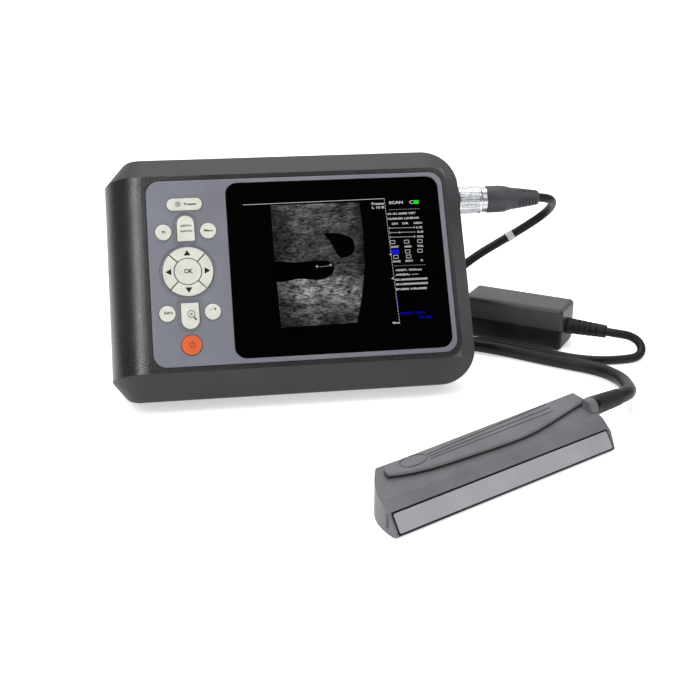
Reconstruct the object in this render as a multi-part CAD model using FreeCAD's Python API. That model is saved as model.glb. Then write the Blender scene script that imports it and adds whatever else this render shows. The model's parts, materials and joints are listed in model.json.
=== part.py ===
"""Hand-held ultrasound scanner on its fold-out stand, with its linear probe, inline box and cables.

Frame, millimetres: +X along the scanner's width towards its probe socket, +Z up, -Y towards the user.
The origin is the middle of the rubber strip that the scanner's lower edge rests on, at table level.
The scanner is modelled upright (x along its width, y back from the face, z up the face) and then
leaned back on its stand; the probe and the inline box are modelled along x and then turned in place.
"""
import FreeCAD, Part
import math
import os

os.makedirs("parts", exist_ok=True)
V = FreeCAD.Vector

# ---- driving dimensions -------------------------------------------------------------------------
RECLINE = 33.0              # lean of the face from upright, degrees
WALL = 2.6                  # case wall
FACE_HALF = 63.5            # half height of the flat face
FACE_RIGHT = 75.0           # right edge of the flat face, from the middle of the screen
FACE_LEFT = -122.0          # where the face starts to curve round the left end
END_RADIUS = 24.0           # radius of the curved left end
BEVEL_DEPTH = 12.0          # how far back the bevelled rim runs
RIM_HALF = 78.8             # half height at the rim
RIM_RIGHT = 86.0            # right edge at the rim
RIM_BACK = 15.0             # depth where the rim ends and the back starts to taper
TAPER_BACK = 46.0           # depth where the back's edge chamfer starts
TAPER_HALF = 67.46          # half height there
CASE_DEPTH = 50.0
SIDE_SPLIT = 30.0           # depth of the joint between the two shells on the left end
CASE_X = 30.0               # middle of the screen, in the row frame
FOOT_RISE = 1.5             # case edge above the table
PANEL = (-119.2, 72.4, 60.2, 8.6)        # left, right, half height, corner radius
WINDOW = (69.0, 57.15, 7.5)              # half width, half height, corner radius
PANEL_THICK = 1.8
PANEL_RISE = 0.55           # how far the panel stands out of the case
KEY_X = -95.3               # middle of the key column
KEY_GAP = 0.3
KEY_TRAVEL = 0.8
KEY_RISE = KEY_TRAVEL + 0.7  # how far the keys stand out of the case
PAD_RADIUS = 15.75          # direction pad
OK_RADIUS = 8.3
STAND_OPEN = 50.0           # opening of the stand from the case's back, degrees
STAND_Z = 20.0              # height of the stand's hinge up the back
STAND_Y = 47.5
STAND_HALF = 35.0
PLUG_Y = 30.0               # probe plug's axis
PLUG_Z = 50.0
LEAD_R = 3.05               # thin lead, plug to inline box
CABLE_R = 4.6               # probe cable
BOX = (75.0, 31.0, 31.0)    # inline box
BOX_YAW = -35.5
BOX_AT = (171.8, 65.2)
PROBE_YAW = 28.0
PROBE_AT = (33.0, -197.7)
COIL_AT = (20.0, 140.0)     # put-away turns of the probe cable
COIL_R = 42.0               # middle of the turns

sin_r, cos_r = math.sin(math.radians(RECLINE)), math.cos(math.radians(RECLINE))
CASE_Z = FOOT_RISE + TAPER_HALF * cos_r + TAPER_BACK * sin_r
CASE_Y = TAPER_HALF * sin_r - TAPER_BACK * cos_r


def lean(shape):
    """Turns a piece modelled upright into its place on the leaning case."""
    out = shape.copy()
    out.rotate(V(0, 0, 0), V(1, 0, 0), -RECLINE)
    out.translate(V(CASE_X, CASE_Y, CASE_Z))
    return out


def lean_point(x, y, z):
    return V(CASE_X + x, CASE_Y + y * cos_r + z * sin_r, CASE_Z - y * sin_r + z * cos_r)


def save(name, shape):
    shape.exportStep("parts/" + name + ".step")


# ---- outlines and small helpers -----------------------------------------------------------------
def rounded_wire(x0, x1, z0, z1, r, y):
    """A rounded rectangle in the plane at depth y."""
    s = r * (1 - math.sqrt(0.5))
    p = [V(x0 + r, y, z0), V(x1 - r, y, z0), V(x1, y, z0 + r), V(x1, y, z1 - r),
         V(x1 - r, y, z1), V(x0 + r, y, z1), V(x0, y, z1 - r), V(x0, y, z0 + r)]
    m = [V(x1 - s, y, z0 + s), V(x1 - s, y, z1 - s), V(x0 + s, y, z1 - s), V(x0 + s, y, z0 + s)]
    edges = []
    for i in range(4):
        edges.append(Part.LineSegment(p[2 * i], p[2 * i + 1]).toShape())
        edges.append(Part.Arc(p[2 * i + 1], m[i], p[(2 * i + 2) % 8]).toShape())
    return Part.Wire(edges)


def plate(x0, x1, z0, z1, y0, y1, r=0.5):
    return Part.Face(rounded_wire(x0, x1, z0, z1, r, y0)).extrude(V(0, y1 - y0, 0))


def block(x0, x1, y0, y1, z0, z1):
    return Part.makeBox(x1 - x0, y1 - y0, z1 - z0, V(x0, y0, z0))


def rod(x, z, r, y0, y1):
    """A round bar running back from depth y0 to y1."""
    return Part.makeCylinder(r, y1 - y0, V(x, y0, z), V(0, 1, 0))


def turned(profile, base, axis):
    """A solid of revolution from (along, radius) pairs that start and end on the axis."""
    wire = Part.makePolygon([V(a, r, 0) for a, r in profile] + [V(profile[0][0], profile[0][1], 0)])
    shape = Part.Face(wire).revolve(V(0, 0, 0), V(1, 0, 0), 360)
    shape.Placement = FreeCAD.Placement(base, FreeCAD.Rotation(V(1, 0, 0), axis))
    return shape


def front_edges(shape, y):
    return [e for e in shape.Edges if all(abs(v.Point.y - y) < 1e-4 for v in e.Vertexes)]


def softened(shape, y, radius):
    """Rounds the edges that lie in the plane at depth y."""
    return shape.makeFillet(radius, front_edges(shape, y))


# ---- case outside and inside --------------------------------------------------------------------
def wide_body(t):
    """The case's face, rim, top, bottom, right side and back, set in by t, running on to the left."""
    front = rounded_wire(-190, FACE_RIGHT - 0.44 * t, -FACE_HALF + 0.345 * t, FACE_HALF - 0.345 * t, 10, t)
    rim_y = BEVEL_DEPTH + 0.45 * t
    rim = [rounded_wire(-190, RIM_RIGHT - t, -RIM_HALF + t, RIM_HALF - t, 24, y) for y in (rim_y, RIM_BACK + t * 0.2)]
    back = rounded_wire(-190, 78 - t, -TAPER_HALF + t, TAPER_HALF - t, 18, TAPER_BACK - 0.5 * t)
    end = rounded_wire(-190, 74.5 - t, -63.5 + t, 63.5 - t, 15, CASE_DEPTH - t)
    return Part.makeLoft([front] + rim + [back, end], True, True)


def end_profile(k, z):
    """Plan outline that shapes the curved left end, set in by k, at height z."""
    c, r = V(FACE_LEFT, END_RADIUS, z), END_RADIUS - k
    s = r * math.sqrt(0.5)
    start, mid, stop = V(FACE_LEFT, k, z), V(c.x - s, c.y - s, z), V(c.x - r, c.y, z)
    pts = [stop, V(c.x - r, SIDE_SPLIT + 2, z), V(-138 + k, TAPER_BACK, z), V(-134 + k, CASE_DEPTH, z),
           V(-134 + k, 60, z), V(-110, 60, z), V(-110, k, z), start]
    edges = [Part.Arc(start, mid, stop).toShape()]
    edges += [Part.LineSegment(a, b).toShape() for a, b in zip(pts, pts[1:])]
    return Part.Wire(edges)


def case_solid(t):
    wide = wide_body(t)
    main = wide.common(block(FACE_LEFT, 100, -5, 60, -90, 90))
    half, rim = FACE_HALF - 0.345 * t, RIM_HALF - t
    inset = BEVEL_DEPTH + 0.45 * t
    profiles = [end_profile(inset, -rim), end_profile(t, -half), end_profile(t, half), end_profile(inset, rim)]
    end = Part.makeLoft(profiles, True, True)
    slope = (RIM_HALF - TAPER_HALF) / (TAPER_BACK - RIM_BACK)
    a, b = RIM_HALF - t + slope * (RIM_BACK + 5), TAPER_HALF - t
    last = CASE_DEPTH - t
    ring = [(-5, a), (TAPER_BACK - 0.5 * t, b), (last, 63.5 - t)]
    pts = [V(-160, y, z) for y, z in ring] + [V(-160, y, -z) for y, z in reversed(ring)]
    wedge = Part.Face(Part.makePolygon(pts + [pts[0]])).extrude(V(160 + FACE_LEFT, 0, 0))
    return main.fuse(end.common(wedge)).removeSplitter()


outer = case_solid(0)
inner = case_solid(WALL)
skin = outer.cut(inner)
front_zone = block(-200, FACE_RIGHT, -5, 6, -FACE_HALF, FACE_HALF).fuse(
    block(-200, -100, 5, SIDE_SPLIT, -FACE_HALF, FACE_HALF)).removeSplitter()

SCREW_AT = [(x, s * z) for x, z in ((-124, 50), (-70, 58.5), (56, 58.5)) for s in (1, -1)]
POST_AT = [(x, s * 46) for x in (-52, 60) for s in (1, -1)]
DOOR_SCREWS = [(42, 39.5), (42, -39.5)]
JACK_Z = -18.0
PORT_Z = -38.0


def front_shell():
    left, right, half, r = PANEL
    shape = skin.common(front_zone)
    for x, z in SCREW_AT:
        shape = shape.fuse(rod(x, z, 3.5, WALL - 0.5, 9))
    shape = shape.cut(plate(left - 0.3, right + 0.3, -half - 0.3, half + 0.3, -1, PANEL_THICK, r))
    shape = shape.cut(plate(left + 3, right - 3, -half + 3, half - 3, -1, 4, r - 3))
    for x, z in SCREW_AT:
        shape = shape.cut(rod(x, z, 1.55, 4, 10))
    return shape.common(outer)


def rear_shell():
    shape = skin.cut(front_zone)
    for x, z in SCREW_AT:
        shape = shape.fuse(rod(x, z, 4.2, 9, CASE_DEPTH))
    for x, z in POST_AT:
        shape = shape.fuse(rod(x, z, 2.5, 13.6, CASE_DEPTH - 1))
    shape = shape.fuse(block(-69, 9, 42.4, CASE_DEPTH, -65, 28.6))
    shape = shape.fuse(block(13, 71, 44.6, CASE_DEPTH, -47, 47))
    shape = shape.fuse(Part.makeCylinder(13.5, 14, V(72.5, PLUG_Y, PLUG_Z), V(1, 0, 0)))
    shape = shape.common(outer.fuse(block(70, 86.5, 14, 46, PLUG_Z - 14, PLUG_Z + 14)))
    for x, z in SCREW_AT:
        shape = shape.cut(rod(x, z, 1.7, 8, 30)).cut(rod(x, z, 3.1, 24, 60))
    for x, z in POST_AT:
        shape = shape.cut(rod(x, z, 1.05, 13, 24))
    pocket = plate(-30 - STAND_HALF - 0.6, -30 + STAND_HALF + 0.6, -62, 25, 44.8, 60, 3)
    shape = shape.cut(pocket).cut(plate(15.7, 68.3, -44.3, 44.3, 47.4, 60, 4))
    shape = shape.cut(plate(18.5, 65.5, -41.5, 41.5, 40, 60, 2))
    shape = shape.cut(Part.makeCylinder(1.5, 76.4, V(-68.2, STAND_Y, STAND_Z), V(1, 0, 0)))
    shape = shape.cut(Part.makeCylinder(8.2, 40, V(60, PLUG_Y, PLUG_Z), V(1, 0, 0)))
    shape = shape.cut(Part.makeCylinder(4.1, 30, V(70, 28, JACK_Z), V(1, 0, 0)))
    for x, z in DOOR_SCREWS:
        shape = shape.fuse(rod(x, z, 3.2, 36, 47.4)).cut(rod(x, z, 1.3, 41, 48))
    return shape.cut(block(70, 100, 26.2, 29.8, PORT_Z - 5, PORT_Z + 5))


save("front_shell", lean(front_shell()))
save("rear_shell", lean(rear_shell()))


# ---- key outlines: faces in the plane at depth 0 -------------------------------------------------
def disc(x, z, r):
    return Part.Face(Part.Wire(Part.Circle(V(x, 0, z), V(0, 1, 0), r).toShape()))


def arch(x, z_flat, z_round, half):
    """A key with one flat end and one round end, half wide each side of x."""
    s = 1 if z_round > z_flat else -1
    zc = z_round - s * half
    top = Part.Arc(V(x + half, 0, zc), V(x, 0, z_round), V(x - half, 0, zc)).toShape()
    pts = [V(x - half, 0, zc), V(x - half, 0, z_flat), V(x + half, 0, z_flat), V(x + half, 0, zc)]
    return Part.Face(Part.Wire([top] + [Part.LineSegment(a, b).toShape() for a, b in zip(pts, pts[1:])]))


def pad_quarter(turn):
    """One of the four quarters of the direction pad, between the centre key and the pad's edge."""
    inner_r, half_slot = OK_RADIUS + 0.5, 0.35
    a = math.asin(half_slot / PAD_RADIUS)
    b = math.asin(half_slot / inner_r)
    lo, hi = math.radians(45), math.radians(135)

    def at(r, ang):
        ang += math.radians(turn)
        return V(KEY_X + r * math.cos(ang), 0, r * math.sin(ang))

    edges = [Part.Arc(at(PAD_RADIUS, lo + a), at(PAD_RADIUS, (lo + hi) / 2), at(PAD_RADIUS, hi - a)).toShape(),
             Part.LineSegment(at(PAD_RADIUS, hi - a), at(inner_r, hi - b)).toShape(),
             Part.Arc(at(inner_r, hi - b), at(inner_r, (lo + hi) / 2), at(inner_r, lo + b)).toShape(),
             Part.LineSegment(at(inner_r, lo + b), at(PAD_RADIUS, lo + a)).toShape()]
    return Part.Face(Part.Wire(edges))


def pill(x0, x1, z0, z1):
    return Part.Face(rounded_wire(x0, x1, z0, z1, (z1 - z0) / 2 - 0.01, 0))


KEYS = {
    "key_freeze": pill(KEY_X - 11.2, KEY_X + 11.2, 40.0, 48.0),
    "key_depth": arch(KEY_X, 19.8, 36.4, 5.45),
    "key_mode": disc(KEY_X - 14, 26.0, 5.1),
    "key_menu": disc(KEY_X + 14, 26.0, 5.1),
    "key_info": disc(KEY_X - 14, -26.5, 5.1),
    "key_star": disc(KEY_X + 14, -26.5, 5.1),
    "key_zoom": arch(KEY_X, -20.3, -36.8, 5.6),
    "key_power": disc(KEY_X, -47.0, 6.2),
    "key_ok": disc(KEY_X, 0, OK_RADIUS),
    "key_up": pad_quarter(0),
    "key_left": pad_quarter(90),
    "key_down": pad_quarter(180),
    "key_right": pad_quarter(270),
}
PAD_KEYS = ("key_ok", "key_up", "key_left", "key_down", "key_right")
FLANGE_FRONT, FLANGE_BACK = PANEL_THICK + 0.3, PANEL_THICK + 1.1


def solid_between(face, y0, y1):
    flat = face.copy()
    flat.translate(V(0, y0, 0))
    return flat.extrude(V(0, y1 - y0, 0))


def key_cap(name, outline):
    cap = softened(solid_between(outline, -KEY_RISE, FLANGE_BACK), -KEY_RISE, 0.45)
    if name in PAD_KEYS:
        return cap
    return cap.fuse(solid_between(outline.makeOffset2D(0.8), FLANGE_FRONT, FLANGE_BACK))


for key, outline in KEYS.items():
    save(key, lean(key_cap(key, outline)))


# ---- face panel, screen and what is behind them --------------------------------------------------
def face_panel():
    left, right, half, r = PANEL
    w, h, wr = WINDOW
    shape = softened(plate(left, right, -half, half, -PANEL_RISE, PANEL_THICK, r), -PANEL_RISE, 0.8)
    shape = shape.cut(plate(-w - 0.15, w + 0.15, -h - 0.15, h + 0.15, -1, 3, wr + 0.15))
    well = solid_between(disc(KEY_X, 0, PAD_RADIUS + 1.9), -1, 0)
    for key in ("key_depth", "key_zoom"):
        well = well.fuse(solid_between(KEYS[key].makeOffset2D(2.2), -1, 0))
    shape = shape.cut(well).cut(rod(KEY_X, 0, PAD_RADIUS + KEY_GAP, -1, 3))
    for key, outline in KEYS.items():
        if key not in PAD_KEYS:
            shape = shape.cut(solid_between(outline.makeOffset2D(KEY_GAP), -1, 3))
    return shape


def screen_gasket():
    return plate(-66, 66, -54.7, 54.7, 1.8, 2.6, 4).cut(plate(-63, 63, -52, 52, 1, 3, 3))


def main_board():
    """The board with its soldered chips and connectors in front, and its coils and shield can behind."""
    chips = [(-40, -22, -8, 10, 10.6), (-14, -2, 12, 24, 10.9), (-14, -2, -10, 2, 10.9), (8, 24, -30, -14, 10.6),
             (8, 24, 8, 24, 10.6), (30, 42, 30, 40, 10.2), (30, 42, -8, 4, 10.6), (-44, -34, -40, -26, 10.0)]
    coils = [(14, 17), (14, -17), (-48, 20)]
    solids = [block(x0, x1, y, 12, z0, z1) for x0, x1, z0, z1, y in chips]
    solids += [rod(x, z, 4, 13.6, 19) for x, z in coils]
    can = block(-40, 6, 13.6, 18.6, -25, 12).cut(block(-39.5, 5.5, 13.6, 18.1, -24.5, 11.5))
    board = plate(-57, 67, -50, 50, 12, 13.6, 2)
    for x, z in POST_AT:
        board = board.cut(rod(x, z, 1.3, 11, 15))
    return board.fuse(solids + [can])


def screws(places, y_head, y_tip, head_r, head_h, shank_r):
    """Pan-head screws driven towards -y when the head is behind the tip, else towards +y."""
    solids = []
    for x, z in places:
        way = 1 if y_tip > y_head else -1
        head = Part.makeCylinder(head_r, head_h, V(x, y_head, z), V(0, -way, 0))
        shank = Part.makeCylinder(shank_r, abs(y_tip - y_head), V(x, y_head, z), V(0, way, 0))
        slot = block(x - head_r * 0.6, x + head_r * 0.6, -1, 1, z - 0.35, z + 0.35)
        slot.translate(V(0, y_head - way * (head_h + 0.2), 0))
        solids.append(head.fuse(shank).cut(slot))
    return Part.makeCompound(solids)


def battery_cover():
    shape = plate(16, 68, -44, 44, 47.6, CASE_DEPTH, 4)
    for x, z in DOOR_SCREWS:
        shape = shape.cut(rod(x, z, 3, 48.4, 51))
    for z in (-6, 0, 6):
        shape = shape.cut(plate(30, 54, z - 1, z + 1, 49.2, 51, 0.9))
    for x, z in DOOR_SCREWS:
        shape = shape.cut(rod(x, z, 1.3, 43, 51))
    return shape


save("face_panel", lean(face_panel()))
w, h, wr = WINDOW
save("screen_glass", lean(softened(plate(-w, w, -h, h, -0.35, 1.75, wr), -0.35, 0.25)))
save("screen_gasket", lean(screen_gasket()))
save("display_module", lean(plate(-64.5, 64.5, -53.5, 53.5, 2.6, 7.4, 1)))
save("key_mat", lean(plate(-115, -75, -55, 55, 3.9, 5.1, 3)))
save("key_board", lean(plate(-115, -75, -55, 55, 5.1, 6.7, 2)))
save("main_board", lean(main_board()))
save("board_screws", lean(screws(POST_AT, 12, 20, 2.2, 1.4, 1.0)))
save("case_screws", lean(screws(SCREW_AT, 24, 5, 2.8, 2.0, 1.5)))
save("battery_pack", lean(plate(20, 64, -36, 36, 24, 46, 3)))
save("battery_cover", lean(battery_cover()))
save("battery_cover_screws", lean(screws(DOOR_SCREWS, 48.4, 42, 2.6, 1.4, 1.25)))


# ---- ports on the right side --------------------------------------------------------------------
def charge_jack():
    jack = Part.makeCylinder(4.0, 14, V(69, 28, JACK_Z), V(1, 0, 0)).common(outer)
    jack = jack.cut(Part.makeCylinder(2.8, 9, V(74.5, 28, JACK_Z), V(1, 0, 0)))
    return jack.fuse(Part.makeCylinder(1.0, 9, V(72, 28, JACK_Z), V(1, 0, 0)))


def data_port():
    shell = block(71, 90, 26.3, 29.7, PORT_Z - 4.9, PORT_Z + 4.9).common(outer)
    shell = shell.cut(block(73, 100, 26.7, 29.3, PORT_Z - 4.5, PORT_Z + 4.5))
    return shell.fuse(block(72, 80, 27.7, 28.3, PORT_Z - 3.4, PORT_Z + 3.4))


save("charge_jack", lean(charge_jack()))
save("data_port", lean(data_port()))


# ---- stand on the back --------------------------------------------------------------------------
def opened(shape):
    out = shape.copy()
    out.rotate(V(0, STAND_Y, STAND_Z), V(1, 0, 0), STAND_OPEN)
    return out


hinge_row = lean_point(0, STAND_Y, STAND_Z)
STAND_FOOT_R = 2.4
STAND_LEG = (hinge_row.z - STAND_FOOT_R) / math.cos(math.radians(STAND_OPEN - RECLINE))


def stand_leg():
    x0, x1 = -30 - STAND_HALF, -30 + STAND_HALF
    leg = plate(x0, x1, STAND_Z - STAND_LEG - 1, STAND_Z - 1, STAND_Y - 1.6, STAND_Y + 1.6, 1.2)
    leg = leg.fuse(Part.makeCylinder(2.3, x1 - x0, V(x0, STAND_Y, STAND_Z), V(1, 0, 0)))
    window = plate(x0 + 14, x1 - 14, STAND_Z - STAND_LEG + 16, STAND_Z - 18, STAND_Y - 5, STAND_Y + 5, 6)
    bore = Part.makeCylinder(1.55, 90, V(-80, STAND_Y, STAND_Z), V(1, 0, 0))
    return leg.cut(window).cut(bore)


def stand_foot():
    x0, length = -30 - STAND_HALF + 3, 2 * STAND_HALF - 6
    bar = Part.makeCylinder(STAND_FOOT_R, length, V(x0, STAND_Y, STAND_Z - STAND_LEG), V(1, 0, 0))
    return bar.cut(stand_leg())


save("stand_leg", lean(opened(stand_leg())))
save("stand_foot", lean(opened(stand_foot())))
save("stand_pin", lean(Part.makeCylinder(1.5, 76, V(-68, STAND_Y, STAND_Z), V(1, 0, 0))))

strip = block(-85, 85, -6, 4, 0, 4).cut(lean(outer))
save("rest_strip", strip)


# ---- probe socket and plug, along x at the plug's axis -------------------------------------------
def on_plug_axis(profile):
    return turned(profile, V(0, PLUG_Y, PLUG_Z), V(1, 0, 0))


def probe_socket():
    body = on_plug_axis([(66, 0), (66, 8.0), (86.5, 8.0), (86.5, 9.4), (88.2, 9.4), (88.2, 7.5), (97, 7.5), (97, 0)])
    body = body.cut(on_plug_axis([(84, 0), (84, 6.2), (99, 6.2), (99, 0)]))
    pins = [on_plug_axis([(82, 0), (82, 0.5), (93, 0.5), (93, 0)])]
    for i in range(8):
        pin = pins[0].copy()
        pin.translate(V(0, 4 * math.cos(i * math.pi / 4), 4 * math.sin(i * math.pi / 4)))
        pins.append(pin)
    return body.fuse(pins)


def socket_nut():
    nut = Part.makePolygon([V(68, PLUG_Y + 11 * math.cos(i * math.pi / 3), PLUG_Z + 11 * math.sin(i * math.pi / 3))
                            for i in range(7)])
    return Part.Face(nut).extrude(V(4, 0, 0)).cut(on_plug_axis([(60, 0), (60, 8.05), (80, 8.05), (80, 0)]))


def plug_body():
    body = on_plug_axis([(97.3, 0), (97.3, 7.4), (98.8, 7.4), (98.8, 6.4), (105.3, 6.4), (105.3, 8.7), (108.6, 8.7),
                         (108.6, 0)])
    nose = on_plug_axis([(93.5, 0), (93.5, 6.0), (97.4, 6.0), (97.4, 0)])
    notch = block(105.2, 109, PLUG_Y - 10, PLUG_Y - 7.9, PLUG_Z - 1.6, PLUG_Z + 1.6)
    return body.fuse(nose).cut(notch)


RING_RIDGES = 30


def coupling_ring():
    ring = on_plug_axis([(88.5, 0), (88.5, 9.0), (89.2, 9.5), (104, 9.5), (105, 8.9), (105, 0)])
    ring = ring.cut(on_plug_axis([(88, 0), (88, 7.6), (99, 7.6), (99, 6.5), (106, 6.5), (106, 0)]))
    grooves = []
    for i in range(RING_RIDGES):
        a = 2 * math.pi * i / RING_RIDGES
        base = V(90.2, PLUG_Y + 9.75 * math.cos(a), PLUG_Z + 9.75 * math.sin(a))
        grooves.append(Part.makeCylinder(0.62, 12.6, base, V(1, 0, 0)))
    return ring.cut(Part.makeCompound(grooves))


PLUG_END = 146.0


def plug_boot():
    boot = on_plug_axis([(108.7, 0), (108.7, 8.9), (110, 9.15), (118, 9.2), (122, 8.9), (126, 7.7), (129, 7.3),
                         (132, 6.9), (PLUG_END - 1, 5.1), (PLUG_END, 4.6), (PLUG_END, 0)])
    slots = []
    for k in range(6):
        x = 131 + 2.35 * k
        depth = 5.8 - 0.32 * k
        for side in range(4):
            slot = block(x, x + 1.15, depth, 12, -3.4 + 0.25 * k, 3.4 - 0.25 * k)
            slot.rotate(V(0, 0, 0), V(1, 0, 0), 90 * side + 45)
            slot.translate(V(0, PLUG_Y, PLUG_Z))
            slots.append(slot)
    return boot.cut(Part.makeCompound(slots))


save("probe_socket", lean(probe_socket()))
save("socket_nut", lean(socket_nut()))
save("plug_body", lean(plug_body()))
save("coupling_ring", lean(coupling_ring()))
save("plug_boot", lean(plug_boot()))


# ---- inline box ---------------------------------------------------------------------------------
def set_box(shape):
    out = shape.copy()
    out.rotate(V(0, 0, 0), V(0, 0, 1), BOX_YAW)
    out.translate(V(BOX_AT[0], BOX_AT[1], 0))
    return out


BOX_L, BOX_W, BOX_H = BOX
BOX_SPLIT = BOX_H / 2
BOX_SCREWS = [(x, y) for x in (-31.5, 31.5) for y in (-9.5, 9.5)]


def box_solid(t):
    shape = block(-BOX_L / 2 + t, BOX_L / 2 - t, -BOX_W / 2 + t, BOX_W / 2 - t, t, BOX_H - t)
    return shape.makeFillet(3.2 - t, shape.Edges)


def box_half(z0, z1):
    shape = box_solid(0).cut(box_solid(2)).common(block(-60, 60, -20, 20, z0, z1))
    for x, y in BOX_SCREWS:
        shape = shape.fuse(Part.makeCylinder(2.6, 14, V(x, y, BOX_SPLIT if z1 > BOX_SPLIT else 1.5)))
        shape = shape.cut(Part.makeCylinder(1.05, 20, V(x, y, 4)))
        shape = shape.cut(Part.makeCylinder(1.9, 6, V(x, y, -1)))
    groove = block(-60, 60, -20, 20, BOX_SPLIT - 0.3, BOX_SPLIT + 0.3).cut(
        block(-BOX_L / 2 + 0.4, BOX_L / 2 - 0.4, -BOX_W / 2 + 0.4, BOX_W / 2 - 0.4, 0, BOX_H))
    shape = shape.common(box_solid(0)).cut(groove)
    return shape.cut(Part.makeCylinder(4.2, 120, V(-60, 0, BOX_SPLIT), V(1, 0, 0)))


def box_relief(length, r_start, r_end, way):
    """Ribbed strain relief that leaves the end of the box along +x (way 1) or -x (way -1)."""
    start = BOX_L / 2 + 0.1
    profile = [(start - 4, 0), (start - 4, 5.6), (start - 2.4, 5.6), (start - 2.4, 4.1), (start, 4.1),
               (start, r_start), (start + length, r_end), (start + length, 0)]
    relief = turned(profile, V(0, 0, BOX_SPLIT), V(way, 0, 0))
    slots = []
    for k in range(5):
        x = start + 5 + 0.145 * length * k
        deep = r_start + (r_end - r_start) * (x - start) / length - 1.1
        for side in range(4):
            slot = block(x, x + 1.3, deep, 12, -3.2, 3.2)
            slot.rotate(V(0, 0, 0), V(1, 0, 0), 90 * side)
            if way < 0:
                slot.rotate(V(0, 0, 0), V(0, 0, 1), 180)
            slot.translate(V(0, 0, BOX_SPLIT))
            slots.append(slot)
    return relief.cut(Part.makeCompound(slots))


def box_screws():
    solids = []
    for x, y in BOX_SCREWS:
        head = Part.makeCylinder(1.7, 1.4, V(x, y, 3.4))
        solids.append(head.fuse(Part.makeCylinder(1.0, 16, V(x, y, 4.8))))
    return Part.makeCompound(solids)


RELIEF_OUT, RELIEF_IN = 28.0, 25.0
save("box_top", set_box(box_half(BOX_SPLIT, BOX_H + 1)))
save("box_bottom", set_box(box_half(-1, BOX_SPLIT)))
save("box_board", set_box(block(-26, 26, -11, 11, 9.6, 11.2)))
save("box_screws", set_box(box_screws()))
save("box_lead_relief", set_box(box_relief(RELIEF_OUT, 5.8, 4.5, 1)))
save("box_cable_relief", set_box(box_relief(RELIEF_IN, 6.8, 5.3, -1)))


# ---- linear probe -------------------------------------------------------------------------------
def set_probe(shape):
    out = shape.copy()
    out.rotate(V(0, 0, 0), V(0, 0, 1), PROBE_YAW)
    out.translate(V(PROBE_AT[0], PROBE_AT[1], 0))
    return out


PROBE_L = 163.5
PROBE_SPLIT = 11.5
SIDE = [(2.5, 0.0), (0.3, 1.2), (0.0, 2.4), (7.0, 12.3), (13.2, 16.1), (31.0, 22.5), (34.6, 22.0), (36.0, 19.5),
        (36.0, 8.0), (31.0, 0.0)]
TOP_SLOPE = 0.354           # rise of the top face towards the back
LENS_FOOT = V(0, 0, 2.4)    # lower edge of the sloping lens face
LENS_LEAN = math.degrees(math.atan2(7.0, 9.9))
LENS_FACE = 12.1            # height of the lens face along its slope


def side_prism(t, x0, x1):
    """The probe's cross-section, set in by t, run from x0 to x1."""
    ring = Part.makePolygon([V(x0, y, z) for y, z in SIDE + SIDE[:1]])
    face = Part.Face(ring)
    if t:
        face = face.makeOffset2D(-t)
    return face.extrude(V(x1 - x0, 0, 0))


def plan_prism(t):
    """The probe's outline from above, set in by t: rounded nose at the left, round shoulder at the cable end."""
    nose = Part.Arc(V(-0.6, -4, 0), V(-1.7, 8, 0), V(1.4, 21.5, 0)).toShape()
    shoulder = Part.Arc(V(1.4, 21.5, 0), V(6.4, 29.5, 0), V(15.5, 38, 0)).toShape()
    back = Part.LineSegment(V(15.5, 38, 0), V(157, 38, 0)).toShape()
    rear = Part.Arc(V(157, 38, 0), V(162.6, 32.5, 0), V(164.8, 24, 0)).toShape()
    tail = Part.Arc(V(164.8, 24, 0), V(163.8, 9, 0), V(159.4, -4, 0)).toShape()
    front = Part.LineSegment(V(159.4, -4, 0), V(-0.6, -4, 0)).toShape()
    face = Part.Face(Part.Wire([nose, shoulder, back, rear, tail, front]))
    if t:
        face = face.makeOffset2D(-t)
    return face.extrude(V(0, 0, 60))


def probe_solid():
    body = side_prism(0, -5, 175).common(plan_prism(0))
    ends = [e for e in body.Edges if (e.BoundBox.XMax < 12 or e.BoundBox.XMin > 150) and e.BoundBox.YMin > 2
            and e.BoundBox.ZMin > 4 and e.BoundBox.ZLength < 8 and e.BoundBox.YMax < 31.5]
    return body.makeFillet(1.35, ends)


def on_lens(shape):
    """Turns a piece modelled upright, with its lower edge at z = 0, onto the sloping lens face."""
    out = shape.copy()
    out.rotate(V(0, 0, 0), V(1, 0, 0), -LENS_LEAN)
    out.translate(LENS_FOOT)
    return out


def lens_plate(edge, y0, y1, r=1.0, drop=0.0):
    """A plate the given distance inside the lens face's outline, with its lower side dropped."""
    return on_lens(plate(edge - 0.6, 160.6 - edge, edge - drop, LENS_FACE - edge, y0, y1, r))


def rise_over_top(p):
    """Height of a point over the probe's sloping top face."""
    return p.z - SIDE[4][1] - TOP_SLOPE * (p.y - SIDE[4][0])


def above_top(h0, h1):
    """The layer between heights h0 and h1 over the probe's sloping top face."""
    z0 = SIDE[4][1] - TOP_SLOPE * SIDE[4][0]
    pts = [V(-5, y, z0 + TOP_SLOPE * y + h) for y, h in ((-5, h0), (50, h0), (50, h1), (-5, h1))]
    return Part.Face(Part.makePolygon(pts + pts[:1])).extrude(V(190, 0, 0))


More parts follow.
